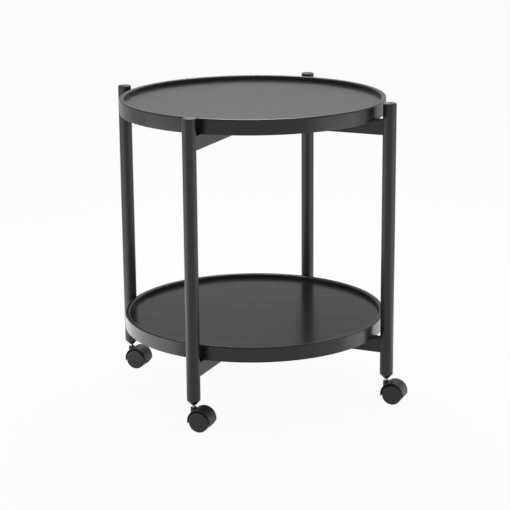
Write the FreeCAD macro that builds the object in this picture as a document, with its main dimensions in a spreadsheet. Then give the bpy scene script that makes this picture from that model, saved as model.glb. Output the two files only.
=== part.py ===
import FreeCAD, Part
import math
import os
import Sketcher
from FreeCAD import Placement, Rotation, Vector

# A round two-tier rolling table: two trays on crossed bars, four round legs and four twin-wheel castors.
# Millimetres, +Z up, with the origin on the floor under the middle of the trays.

# Driving sizes, each set by itself
SIZES = {
    # Trays
    "tray_diameter": 500,
    "rim_width": 9,
    "rim_height": 28,
    "rim_edge_round": 2.5,
    "rim_base_round": 1,
    "recess_depth": 8,
    "panel_rebate": 3,
    "panel_tongue": 12,
    "glue_gap": 0.1,
    "upper_tray_base": 539.5,
    "lower_tray_base": 124.5,
    # Legs
    "leg_diameter": 25,
    "leg_gap": 9.5,
    "leg_proud": 3.5,
    "leg_top_round": 2.5,
    "foot_taper": 5.5,
    "foot_tip_diameter": 14,
    "foot_round": 4,
    # Cross bars
    "bar_width": 20,
    "bar_height": 27,
    "bar_edge_round": 1,
    "cope_gap": 0.1,
    "lap_gap": 0.1,
    # Studs, barrel nuts and dowels that hold the bars to the legs
    "stud_diameter": 6,
    "stud_bar_depth": 28,
    "stud_skin": 8,
    "nut_diameter": 10,
    "nut_setback": 20,
    "nut_recess": 2,
    "dowel_diameter": 6,
    "dowel_drop": 6.5,
    "dowel_skin": 11,
    "dowel_bar_depth": 16,
    "dowel_nut_wall": 1.5,
    "hole_fit": 0.05,
    "hole_end_gap": 0.5,
    # Screws that hold the trays down
    "screw_diameter": 4,
    "screw_head_diameter": 8,
    "screw_head_height": 3,
    "screw_head_gap": 0.5,
    "screw_setback": 105,
    "screw_sink": 10,
    "screw_bite": 12,
    "screw_point": 3,
    # Castors
    "castor_heading": -43,
    "castor_trail": 16.5,
    "castor_width": 41,
    "wheel_diameter": 38,
    "wheel_edge_round": 2.5,
    "wheel_wall": 3,
    "wheel_face": 3.5,
    "wheel_side_gap": 0.5,
    "wheel_proud": 4,
    "tread_gap": 0.6,
    "hood_wall": 1.4,
    "hood_offset": 1.2,
    "hood_skirt": 4.5,
    "hood_edge_round": 0.6,
    "web_thickness": 10,
    "axle_diameter": 5,
    "axle_boss_wall": 3.5,
    "hub_wall": 2.5,
    "axle_fit": 0.06,
    "neck_diameter": 12,
    "neck_drop": 0.8,
    "neck_edge_round": 0.8,
    "stem_diameter": 6,
    "stem_show": 4.6,
    "stem_hood_depth": 20,
    "stem_leg_depth": 35,
    "swivel_fit": 0.08,
    "press_fit": 0.02,
    "collar_height": 3.5,
    "collar_lip": 0.6,
    "collar_shoulder": 0.6,
    "collar_round": 1,
    "sleeve_wall": 2.4,
    "ring_height": 1.6,
    "ring_thickness": 1.2,
    "ring_slit": 1.2,
    "ring_setback": 6,
    "ring_gap": 0.3,
}

CORNERS = {"front_left": 225, "front_right": 315, "back_right": 45, "back_left": 135}
LEVELS = ("upper", "lower")
FULL_TURN = 360
ALONG_X = Rotation(Vector(0, 1, 0), 90)
ALONG_Y = Rotation(Vector(1, 0, 0), -90)
UPRIGHT = Rotation()
TOLERANCE = 1e-6

doc = FreeCAD.newDocument("RollingTable")
sheet = doc.addObject("Spreadsheet::Sheet", "Sizes")
for row, (alias, number) in enumerate(SIZES.items(), start=1):
    sheet.set(f"A{row}", alias)
    sheet.set(f"B{row}", str(number))
    sheet.setAlias(f"B{row}", alias)
doc.recompute()


class Size:
    """A length or angle that carries its value and the sheet expression that drives it."""

    def __init__(self, value, text):
        self.value = value
        self.text = text

    def __add__(self, other):
        other = as_size(other)
        return Size(self.value + other.value, f"({self.text} + {other.text})")

    def __sub__(self, other):
        other = as_size(other)
        return Size(self.value - other.value, f"({self.text} - {other.text})")

    def __mul__(self, other):
        other = as_size(other)
        return Size(self.value * other.value, f"({self.text} * {other.text})")

    def __truediv__(self, other):
        other = as_size(other)
        return Size(self.value / other.value, f"({self.text} / {other.text})")

    def __neg__(self):
        return Size(-self.value, f"(0 - {self.text})")


def as_size(number):
    """Take a plain number as a size of its own."""
    return number if isinstance(number, Size) else Size(number, repr(number))


def size(alias):
    """The sheet's cell of that name."""
    return Size(float(sheet.get(alias)), f"Sizes.{alias}")


def cosine(angle):
    return Size(math.cos(math.radians(angle.value)), f"cos({angle.text} * 1 deg)")


def sine(angle):
    return Size(math.sin(math.radians(angle.value)), f"sin({angle.text} * 1 deg)")


def polar(radius, angle):
    """X and Y of a point at a radius and a plain angle about the table's middle."""
    return radius * math.cos(math.radians(angle)), radius * math.sin(math.radians(angle))


NOTHING = as_size(0)

# Sizes worked out from the driving ones
tray_radius = size("tray_diameter") / 2
tray_base = {"upper": size("upper_tray_base"), "lower": size("lower_tray_base")}
panel_thickness = size("rim_height") - size("recess_depth")
rim_inner = tray_radius - size("rim_width")
rebate_radius = rim_inner + size("panel_rebate")

leg_radius = size("leg_diameter") / 2
leg_circle = tray_radius + size("leg_gap") + leg_radius
leg_face = leg_circle - leg_radius
leg_top = tray_base["upper"] + size("rim_height") + size("leg_proud")

dowel_radius = size("dowel_diameter") / 2
dowel_height = size("bar_height") - size("dowel_drop")
nut_length = dowel_height - dowel_radius - size("dowel_nut_wall") - size("nut_recess")
stud_radius = size("stud_diameter") / 2
stud_height = size("nut_recess") + nut_length / 2
stud_leg_depth = size("leg_diameter") - size("stud_skin")
dowel_leg_depth = size("leg_diameter") - size("dowel_skin")
bar_base = {level: tray_base[level] - size("bar_height") for level in LEVELS}

screw_radius = size("screw_diameter") / 2
screw_head_radius = size("screw_head_diameter") / 2
screw_circle = leg_face - size("screw_setback")
screw_top = size("bar_height") + size("screw_bite")

wheel_radius = size("wheel_diameter") / 2
well_radius = wheel_radius + size("tread_gap") + size("hood_offset")
hood_radius = well_radius + size("hood_wall")
hood_centre = size("castor_trail") - size("hood_offset")
hood_width = size("castor_width") - size("wheel_proud") * 2
web_half = size("web_thickness") / 2
wheel_inside = web_half + size("wheel_side_gap")
wheel_outside = size("castor_width") / 2
axle_radius = size("axle_diameter") / 2
axle_bore_end = wheel_outside - size("wheel_face")
neck_top = wheel_radius + hood_radius - size("neck_drop")
stem_radius = size("stem_diameter") / 2
socket_bore = stem_radius + size("swivel_fit")
socket_radius = socket_bore + size("sleeve_wall")
collar_base = neck_top + size("stem_show")
foot_base = collar_base + size("collar_height")
foot_tip = size("foot_tip_diameter") / 2
stem_top = foot_base + size("stem_leg_depth")
socket_top = stem_top + size("hole_end_gap") + size("sleeve_wall")
ring_base = stem_top - size("ring_setback")
ring_top = ring_base + size("ring_height")
ring_inner = stem_radius + size("ring_gap") * 2 - size("ring_thickness")
ring_outer = ring_inner + size("ring_thickness")

subparts = []


def bind(item, **sizes):
    """Drive each named property of an object from the sheet."""
    for name, value in sizes.items():
        item.setExpression(name, as_size(value).text)


def place(item, at=(NOTHING, NOTHING, NOTHING), turn=UPRIGHT):
    """Turn an object and drive its position from the sheet."""
    at = [as_size(value) for value in at]
    item.Placement = Placement(Vector(*(value.value for value in at)), turn)
    for axis, value in zip("xyz", at):
        item.setExpression(f"Placement.Base.{axis}", value.text)


def about_z(angle):
    return Rotation(Vector(0, 0, 1), angle)


def new_body(label):
    """A piece of its own, under the name that its file takes."""
    body = doc.addObject("PartDesign::Body", label)
    body.Label = label
    subparts.append(body)
    return body


def origin_plane(body, role):
    return next(plane for plane in body.Origin.OriginFeatures if plane.Role == role)


def closed_outline(sketch, corners):
    """Draw straight edges round the corners, each corner held to the axes by its two sizes."""
    points = [(as_size(across), as_size(up)) for across, up in corners]
    vectors = [Vector(across.value, up.value, 0) for across, up in points]
    count = len(points)
    for index in range(count):
        sketch.addGeometry(Part.LineSegment(vectors[index], vectors[(index + 1) % count]), False)
    for index in range(count):
        sketch.addConstraint(Sketcher.Constraint("Coincident", index, 2, (index + 1) % count, 1))
    for index, (across, up) in enumerate(points):
        for kind, value, axis in (("DistanceX", across, -2), ("DistanceY", up, -1)):
            if abs(value.value) < TOLERANCE:
                sketch.addConstraint(Sketcher.Constraint("PointOnObject", index, 1, axis))
                continue
            held = sketch.addConstraint(Sketcher.Constraint(kind, -1, 1, index, 1, value.value))
            sketch.setExpression(f"Constraints[{held}]", value.text)


def turned(body, corners, plane="XZ_Plane"):
    """Turn an outline all the way round its own upright axis."""
    sketch = body.newObject("Sketcher::SketchObject", f"{body.Label}_outline")
    sketch.AttachmentSupport = [(origin_plane(body, plane), "")]
    sketch.MapMode = "FlatFace"
    closed_outline(sketch, corners)
    solid = body.newObject("PartDesign::Revolution", f"{body.Label}_turning")
    solid.Profile = sketch
    solid.ReferenceAxis = (sketch, ["V_Axis"])
    solid.Angle = FULL_TURN
    doc.recompute()
    return solid


def rounded(body, base, radius, chosen):
    """Round the edges that the test picks out."""
    names = [f"Edge{number}" for number, edge in enumerate(base.Shape.Edges, start=1) if chosen(edge)]
    fillet = body.newObject("PartDesign::Fillet", f"{base.Name}_round")
    fillet.Base = (base, names)
    bind(fillet, Radius=radius)
    doc.recompute()
    return fillet


def ring_edge(radius, height):
    """Pick out the circle of that radius at that height about the piece's own axis."""
    def chosen(edge):
        if not isinstance(edge.Curve, Part.Circle):
            return False
        level = edge.Curve.Center.z
        same_radius = abs(edge.Curve.Radius - radius.value) < TOLERANCE
        return same_radius and abs(level - height.value) < TOLERANCE
    return chosen


def any_of(*tests):
    return lambda edge: any(test(edge) for test in tests)


def body_cylinder(body, kind, radius, length, at, turn=UPRIGHT):
    """Add or drill a round length in a body, from a point and along the turned axis."""
    tool = body.newObject(f"PartDesign::{kind}Cylinder", f"{body.Label}_{kind.lower()}_round")
    bind(tool, Radius=radius, Height=length)
    place(tool, at, turn)
    doc.recompute()
    return tool


def body_box(body, kind, sides, at):
    """Add or cut a square block in a body, from its lowest corner."""
    tool = body.newObject(f"PartDesign::{kind}Box", f"{body.Label}_{kind.lower()}_block")
    bind(tool, Length=sides[0], Width=sides[1], Height=sides[2])
    place(tool, at)
    doc.recompute()
    return tool


def drill(body, radius, length, at, turn=UPRIGHT):
    """Drill a hole, and stop if it takes no material away."""
    before = body.Shape.Volume
    body_cylinder(body, "Subtractive", radius, length, at, turn)
    if body.Shape.Volume > before - TOLERANCE:
        raise ValueError(f"a hole in {body.Label} misses the wood or metal")


def part_cylinder(name, radius, length, at, turn=UPRIGHT):
    """A round length that stands outside any body."""
    item = doc.addObject("Part::Cylinder", name)
    bind(item, Radius=radius, Height=length)
    place(item, at, turn)
    return item


def group(label, items):
    """Like pieces that share one name, each still a solid of its own."""
    item = doc.addObject("Part::Compound", label)
    item.Label = label
    item.Links = items
    subparts.append(item)


def tray(level):
    """A raised rim, rebated below for the tongue round a flat panel, which is flush with the rim underneath."""
    rim = new_body(f"{level}_tray_rim")
    top = size("rim_height")
    tongue = size("panel_tongue")
    solid = turned(rim, [
        (tray_radius, NOTHING),
        (tray_radius, top),
        (rim_inner, top),
        (rim_inner, tongue),
        (rebate_radius, tongue),
        (rebate_radius, NOTHING),
    ])
    top_edges = any_of(ring_edge(tray_radius, top), ring_edge(rim_inner, top))
    solid = rounded(rim, solid, size("rim_edge_round"), top_edges)
    rounded(rim, solid, size("rim_base_round"), ring_edge(tray_radius, NOTHING))
    place(rim, (NOTHING, NOTHING, tray_base[level]))

    panel = new_body(f"{level}_tray_panel")
    edge = rebate_radius - size("glue_gap")
    field = rim_inner - size("glue_gap")
    turned(panel, [
        (NOTHING, NOTHING),
        (edge, NOTHING),
        (edge, tongue),
        (field, tongue),
        (field, panel_thickness),
        (NOTHING, panel_thickness),
    ])
    for angle in CORNERS.values():
        x, y = polar(screw_circle, angle)
        pilot = size("screw_bite") + size("hole_end_gap")
        drill(panel, screw_radius + size("hole_fit"), pilot, (x, y, NOTHING))
    place(panel, (NOTHING, NOTHING, tray_base[level]))


def leg(corner, angle):
    """A round leg with a softened top, a tapered foot, a castor socket's bore and the bars' holes."""
    body = new_body(f"{corner}_leg")
    bore = socket_radius + size("hole_fit")
    taper_top = foot_base + size("foot_taper")
    bore_top = socket_top + size("hole_end_gap")
    solid = turned(body, [
        (bore, foot_base),
        (foot_tip, foot_base),
        (leg_radius, taper_top),
        (leg_radius, leg_top),
        (NOTHING, leg_top),
        (NOTHING, bore_top),
        (bore, bore_top),
    ])
    solid = rounded(body, solid, size("leg_top_round"), ring_edge(leg_radius, leg_top))
    rounded(body, solid, size("foot_round"), ring_edge(leg_radius, taper_top))
    for level in LEVELS:
        for radius, depth, height in (
            (stud_radius, stud_leg_depth, stud_height),
            (dowel_radius, dowel_leg_depth, dowel_height),
        ):
            length = depth + size("hole_end_gap")
            at = (leg_radius - length, NOTHING, bar_base[level] + height)
            drill(body, radius + size("hole_fit"), length, at, ALONG_X)
    x, y = polar(leg_circle, angle)
    place(body, (x, y, NOTHING), about_z(angle + FULL_TURN / 2))


def cross_bar(level, lap, angle):
    """A bar from leg to leg, coped to both, halved at the middle and drilled for its fastenings."""
    body = new_body(f"{level}_cross_bar_{lap}")
    width = size("bar_width")
    height = size("bar_height")
    length = leg_circle * 2
    solid = body_box(body, "Additive", (length, width, height), (-leg_circle, -width / 2, NOTHING))
    rounded(body, solid, size("bar_edge_round"), lambda edge: abs(edge.Length - length.value) < TOLERANCE)
    notch = width + size("lap_gap") * 2
    depth = height / 2 + size("lap_gap") / 2
    notch_base = NOTHING if lap == "over" else height - depth
    body_box(body, "Subtractive", (notch, notch, depth), (-notch / 2, -notch / 2, notch_base))
    for side in (1, -1):
        inward = ALONG_X if side < 0 else Rotation(Vector(0, 1, 0), -90)
        drill(body, leg_radius + size("cope_gap"), height, (leg_circle * side, NOTHING, NOTHING))
        for radius, run, level_height in (
            (stud_radius, size("stud_bar_depth"), stud_height),
            (dowel_radius, size("dowel_bar_depth"), dowel_height),
        ):
            hole = leg_radius + run + size("hole_end_gap")
            drill(body, radius + size("hole_fit"), hole, (leg_circle * side, NOTHING, level_height), inward)
        nut_at = (leg_face - size("nut_setback")) * side
        nut_bore = size("nut_diameter") / 2 + size("hole_fit")
        drill(body, nut_bore, size("nut_recess") + nut_length, (nut_at, NOTHING, NOTHING))
        screw_at = screw_circle * side
        drill(body, screw_radius + size("hole_fit"), height, (screw_at, NOTHING, NOTHING))
        sink_radius = screw_head_radius + size("screw_head_gap")
        drill(body, sink_radius, size("screw_sink"), (screw_at, NOTHING, NOTHING))
    place(body, (NOTHING, NOTHING, bar_base[level]), about_z(angle))


def frame_fastenings(level):
    """Studs and barrel nuts that draw the bars against the legs, and the dowels beside them."""
    studs = []
    nuts = []
    dowels = []
    for corner, angle in CORNERS.items():
        outward = Rotation(Vector(0, 0, 1), Vector(*(axis.value for axis in polar(as_size(1), angle)), 0))
        name = f"{level}_{corner}"
        stud_at = (*polar(leg_face - size("stud_bar_depth"), angle), bar_base[level] + stud_height)
        stud_run = size("stud_bar_depth") + stud_leg_depth
        studs.append(part_cylinder(f"{name}_stud", stud_radius, stud_run, stud_at, outward))
        dowel_at = (*polar(leg_face - size("dowel_bar_depth"), angle), bar_base[level] + dowel_height)
        dowel_run = size("dowel_bar_depth") + dowel_leg_depth
        dowels.append(part_cylinder(f"{name}_dowel", dowel_radius, dowel_run, dowel_at, outward))
        nut_at = (*polar(leg_face - size("nut_setback"), angle), bar_base[level] + size("nut_recess"))
        blank = part_cylinder(f"{name}_nut_blank", size("nut_diameter") / 2, nut_length, nut_at)
        nut_hole = stud_radius + size("hole_fit")
        tapping = part_cylinder(f"{name}_nut_hole", nut_hole, stud_run, stud_at, outward)
        nut = doc.addObject("Part::Cut", f"{name}_nut")
        nut.Base = blank
        nut.Tool = tapping
        nuts.append(nut)
    group(f"{level}_bar_studs", studs)
    group(f"{level}_barrel_nuts", nuts)
    group(f"{level}_bar_dowels", dowels)


def tray_screws(level):
    """Round-headed screws, sunk in the bars from below and driven into the panel."""
    screws = []
    for corner, angle in CORNERS.items():
        name = f"{level}_{corner}_screw"
        x, y = polar(screw_circle, angle)
        seat = bar_base[level] + size("screw_sink")
        point_base = bar_base[level] + screw_top - size("screw_point")
        head_height = size("screw_head_height")
        head = part_cylinder(f"{name}_head", screw_head_radius, head_height, (x, y, seat - head_height))
        shank = part_cylinder(f"{name}_shank", screw_radius, point_base - seat, (x, y, seat))
        point = doc.addObject("Part::Cone", f"{name}_point")
        point.Radius2 = 0
        bind(point, Radius1=screw_radius, Height=size("screw_point"))
        place(point, (x, y, point_base))
        screw = doc.addObject("Part::MultiFuse", name)
        screw.Shapes = [head, shank, point]
        screws.append(screw)
    group(f"{level}_tray_screws", screws)


def castor_socket(corner, at):
    """A sleeve in the leg's foot, with a domed collar below it and a groove for the grip ring."""
    body = new_body(f"{corner}_castor_socket")
    groove = ring_outer + size("ring_gap")
    groove_base = ring_base - size("ring_gap")
    groove_top = ring_top + size("ring_gap")
    bore_top = stem_top + size("hole_end_gap")
    lip = socket_bore + size("collar_lip")
    shoulder = foot_base - size("collar_shoulder")
    solid = turned(body, [
        (socket_bore, collar_base),
        (lip, collar_base),
        (foot_tip, shoulder),
        (foot_tip, foot_base),
        (socket_radius, foot_base),
        (socket_radius, socket_top),
        (NOTHING, socket_top),
        (NOTHING, bore_top),
        (socket_bore, bore_top),
        (socket_bore, groove_top),
        (groove, groove_top),
        (groove, groove_base),
        (socket_bore, groove_base),
    ])
    dome_edges = any_of(ring_edge(lip, collar_base), ring_edge(foot_tip, shoulder))
    rounded(body, solid, size("collar_round"), dome_edges)
    place(body, at)


def castor_stem(corner, at, heading):
    """A steel stem, pressed into the hood, that turns in the socket, and the grip ring in its groove."""
    stem = new_body(f"{corner}_castor_stem")
    stem_base = neck_top - size("stem_hood_depth")
    groove = ring_inner - size("press_fit")
    turned(stem, [
        (NOTHING, stem_base),
        (stem_radius, stem_base),
        (stem_radius, ring_base),
        (groove, ring_base),
        (groove, ring_top),
        (stem_radius, ring_top),
        (stem_radius, stem_top),
        (NOTHING, stem_top),
    ])
    place(stem, at, heading)

    ring = new_body(f"{corner}_castor_grip_ring")
    turned(ring, [
        (ring_inner, ring_base),
        (ring_outer, ring_base),
        (ring_outer, ring_top),
        (ring_inner, ring_top),
    ])
    slit = size("ring_slit")
    body_box(ring, "Subtractive", (ring_outer, slit, size("ring_height")), (NOTHING, -slit / 2, ring_base))
    place(ring, at, heading)


def castor_hood(corner, at, heading):
    """A hood over both wheels: a barrel shell, a middle web with the axle's boss, and the stem's neck."""
    body = new_body(f"{corner}_castor_hood")
    barrel_at = (hood_centre, -hood_width / 2, wheel_radius)
    barrel = body_cylinder(body, "Additive", hood_radius, hood_width, barrel_at, ALONG_Y)
    barrel_ends = (hood_width / 2).value

    def end_circle(edge):
        if not isinstance(edge.Curve, Part.Circle):
            return False
        return abs(abs(edge.Curve.Center.y) - barrel_ends) < TOLERANCE

    rounded(body, barrel, size("hood_edge_round"), end_circle)
    skirt = wheel_radius - size("hood_skirt")
    under = hood_radius * 2
    under_at = (hood_centre - hood_radius, -hood_width / 2, skirt - under)
    body_box(body, "Subtractive", (under, hood_width, under), under_at)
    neck_radius = size("neck_diameter") / 2
    neck_base = neck_top - size("stem_hood_depth") - size("hood_wall")
    neck = body_cylinder(body, "Additive", neck_radius, neck_top - neck_base, (NOTHING, NOTHING, neck_base))
    rounded(body, neck, size("neck_edge_round"), ring_edge(neck_radius, neck_top))
    boss = axle_radius + size("axle_boss_wall")
    web_at = (size("castor_trail"), -web_half, wheel_radius)
    body_cylinder(body, "Additive", boss, size("web_thickness"), web_at, ALONG_Y)
    for start in (web_half, -web_half - hood_width):
        drill(body, well_radius, hood_width, (hood_centre, start, wheel_radius), ALONG_Y)
    stem_bore = stem_radius + size("press_fit")
    drill(body, stem_bore, size("stem_hood_depth"), (NOTHING, NOTHING, neck_top - size("stem_hood_depth")))
    drill(body, axle_radius + size("press_fit"), size("web_thickness"), web_at, ALONG_Y)
    place(body, at, heading)


def castor_wheels(corner, axle_centre, heading):
    """An axle through the web, and on each end a cupped wheel with a closed, smooth face."""
    axle = new_body(f"{corner}_castor_axle")
    reach = axle_bore_end - size("hole_end_gap")
    body_cylinder(axle, "Additive", axle_radius, reach * 2, (NOTHING, -reach, NOTHING), ALONG_Y)
    place(axle, axle_centre, heading)

    bore = axle_radius + size("axle_fit")
    hub = bore + size("hub_wall")
    rim = wheel_radius - size("wheel_wall")
    for side, sign in (("near", -1), ("far", 1)):
        wheel = new_body(f"{corner}_castor_wheel_{side}")
        inside = wheel_inside * sign
        outside = wheel_outside * sign
        floor = axle_bore_end * sign
        solid = turned(wheel, [
            (bore, inside),
            (hub, inside),
            (hub, floor),
            (rim, floor),
            (rim, inside),
            (wheel_radius, inside),
            (wheel_radius, outside),
            (NOTHING, outside),
            (NOTHING, floor),
            (bore, floor),
        ], "XY_Plane")

        def face_edge(edge, level=outside.value):
            if not isinstance(edge.Curve, Part.Circle):
                return False
            return abs(edge.Curve.Center.y - level) < TOLERANCE

        rounded(wheel, solid, size("wheel_edge_round"), face_edge)
        place(wheel, axle_centre, heading)


def castor(corner, angle):
    """One castor under its leg: socket, stem, grip ring, hood, axle and two wheels."""
    x, y = polar(leg_circle, angle)
    heading = size("castor_heading")
    turn = about_z(heading.value)
    castor_socket(corner, (x, y, NOTHING))
    castor_stem(corner, (x, y, NOTHING), turn)
    castor_hood(corner, (x, y, NOTHING), turn)
    trail = size("castor_trail")
    castor_wheels(corner, (x + trail * cosine(heading), y + trail * sine(heading), wheel_radius), turn)


def check_and_write():
    """Stop on any failed object or bad solid, then write one file for each piece."""
    doc.recompute()
    for item in doc.Objects:
        if "Invalid" in item.State or "Error" in item.State:
            raise ValueError(f"{item.Label} failed: {item.State}")
    for item in subparts:
        if item.Shape.isNull() or not item.Shape.isValid() or not item.Shape.Solids:
            raise ValueError(f"{item.Label} is not a good solid")
    os.makedirs("parts", exist_ok=True)
    for item in subparts:
        item.Shape.exportStep(os.path.join("parts", f"{item.Label}.step"))
    print(f"{len(subparts)} pieces written")


for tier in LEVELS:
    tray(tier)
    cross_bar(tier, "over", CORNERS["back_right"])
    cross_bar(tier, "under", CORNERS["back_left"])
    frame_fastenings(tier)
    tray_screws(tier)
for place_name, place_angle in CORNERS.items():
    leg(place_name, place_angle)
    castor(place_name, place_angle)
check_and_write()
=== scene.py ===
import math

import bpy
import numpy as np
from mathutils import Matrix


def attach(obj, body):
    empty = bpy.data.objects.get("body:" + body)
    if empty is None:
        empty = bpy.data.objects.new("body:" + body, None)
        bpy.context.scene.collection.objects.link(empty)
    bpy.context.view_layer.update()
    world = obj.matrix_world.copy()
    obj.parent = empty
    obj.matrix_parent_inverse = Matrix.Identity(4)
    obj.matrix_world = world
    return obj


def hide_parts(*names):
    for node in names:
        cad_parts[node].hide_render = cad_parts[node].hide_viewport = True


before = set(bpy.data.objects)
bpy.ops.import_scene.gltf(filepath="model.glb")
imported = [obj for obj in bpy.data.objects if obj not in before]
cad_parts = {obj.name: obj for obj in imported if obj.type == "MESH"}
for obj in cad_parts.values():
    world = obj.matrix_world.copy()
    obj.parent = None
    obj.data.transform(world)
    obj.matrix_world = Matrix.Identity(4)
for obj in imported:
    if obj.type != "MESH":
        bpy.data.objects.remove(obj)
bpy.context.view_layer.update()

LEVELS = ("upper", "lower")
CORNERS = {"front_left": 225, "front_right": 315, "back_right": 45, "back_left": 135}

# Sizes in metres, from the part's own; the trays' edges lie a hair inside its solids
TRAY_RADIUS = 0.2499
RIM_INNER = 0.241
RIM_HEIGHT = 0.028
RIM_EDGE = 0.0025
RIM_BASE_EDGE = 0.001
PANEL_TOP = 0.020
PANEL_EDGE = 0.2439
PANEL_FIELD = 0.2409
REBATE_RADIUS = 0.244
TONGUE = 0.012
TRAY_BASE = {"upper": 0.5395, "lower": 0.1245}

# Screws that hold a tray to its bars; heights are above the bars' undersides
BAR_HEIGHT = 0.027
SCREW_CIRCLE = 0.1545
SCREW_HEAD = 0.004
SCREW_HEAD_BASE = 0.007
SCREW_HEAD_EDGE = 0.0012
SCREW_SEAT = 0.010
SCREW_SHANK = 0.002
SCREW_POINT_BASE = 0.036
SCREW_TIP = 0.039
THREAD_PITCH = 0.0018
THREAD_DEPTH = 0.0005
THREAD_STEEPNESS = 1.4
CROSS_ARM = 0.0022
CROSS_HALF = 0.0005
CROSS_DEPTH = 0.0018
CROSS_SLOPE = 0.00015

# Legs
LEG_CIRCLE = 0.272
LEG_RADIUS = 0.0125
LEG_TOP = 0.571
LEG_TOP_EDGE = 0.0025
FOOT_BASE = 0.0485
TAPER_TOP = 0.054
FOOT_TIP = 0.007
FOOT_EDGE = 0.004
LEG_BORE = 0.00553
LEG_BORE_TOP = 0.0869

# Castors; sizes along the axle are from the castor's middle, and heights from the floor
CASTOR_HEADING = math.radians(-43)
TRAIL = 0.0165
WHEEL_RADIUS = 0.019
WHEEL_EDGE = 0.0025
WHEEL_INSIDE = 0.0055
WHEEL_OUTSIDE = 0.0205
WHEEL_FLOOR = 0.017
WHEEL_CUP = 0.016
HUB_RADIUS = 0.00506
HUB_BORE = 0.00256
HOOD_CENTRE = 0.0153
HOOD_RADIUS = 0.0222
WELL_RADIUS = 0.0208
HOOD_HALF = 0.0165
HOOD_SKIRT = 0.0045
HOOD_EDGE = 0.0006
WEB_HALF = 0.005
BOSS_RADIUS = 0.006
AXLE_HOLE = 0.00252
NECK_RADIUS = 0.006
NECK_EDGE = 0.0008
NECK_BASE = 0.019
NECK_TOP = 0.0404
STEM_RADIUS = 0.003
STEM_HOLE = 0.00302
STEM_BASE = 0.0204
STEM_TOP = 0.0835
RING_BASE = 0.0775
RING_TOP = 0.0791
STEM_GROOVE = 0.00238
COLLAR_BASE = 0.045
COLLAR_SHOULDER = 0.0479
COLLAR_SHOULDER_EDGE = 0.0005
COLLAR_LIP = 0.00368
COLLAR_LIP_EDGE = 0.00025
SOCKET_BORE = 0.00308
SOCKET_RADIUS = 0.00548
SOCKET_GROOVE = 0.0039
SOCKET_GROOVE_BASE = 0.0772
SOCKET_GROOVE_TOP = 0.0794
SOCKET_BORE_TOP = 0.084
SOCKET_TOP = 0.0864

# Radius of the corners that are only just eased
EASE = 0.0003
WELL_EASE = EASE / 2
FINE_EASE = EASE / 3

# Points along an outline: steps round a corner, the flat held beside it and the longest gap
ARC_STEPS = 6
HOLD = 0.0002
FINE_HOLD = 0.0001
FINEST_HOLD = 0.00005
SPREAD = 0.03
HEAD_SPREAD = 0.00015
SHANK_SPREAD = 0.0002
HOOD_SPREAD = 0.004
NECK_SPREAD = 0.0004
WHEEL_SPREAD = 0.003
SAME_PLACE = 1e-7

# Points round each turned piece
RIM_SEGMENTS = 384
PANEL_SEGMENTS = 256
HEAD_SEGMENTS = 96
SHANK_SEGMENTS = 32
LEG_SEGMENTS = 96
SOCKET_SEGMENTS = 64
STEM_SEGMENTS = 48
NECK_SEGMENTS = 72
BOSS_SEGMENTS = 64
WHEEL_SEGMENTS = 96

# The hood's wall: rings from skirt to skirt, and how close to the skirts the last ones lie
HOOD_RINGS = 90
SKIRT_NEAR = 0.99
SKIRT_NEARER = 0.999
# The hood's web: points round its outline, and each ring's share of it and depth from face to face
WEB_ARC_POINTS = 120
WEB_CHORD_POINTS = 30
WEB_SHARE = np.array([0, 0.5, 0.99, 1, 1, 1, 1, 0.99, 0.5, 0])
WEB_DEPTH = np.array([-1, -1, -1, -0.98, -0.9, 0.9, 0.98, 1, 1, 1]) * WEB_HALF
# Rough lengths for UV, in radii or half widths
WALL_UV = 4
WEB_UV = 6

UP = np.array([0, 0, 1.0])
UPRIGHT = ((1, 0, 0), (0, 1, 0), UP)
SHARP_ANGLE = math.radians(40)


def unit(vectors):
    """Vectors at length one."""
    return vectors / np.linalg.norm(vectors, axis=-1, keepdims=True)


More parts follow.
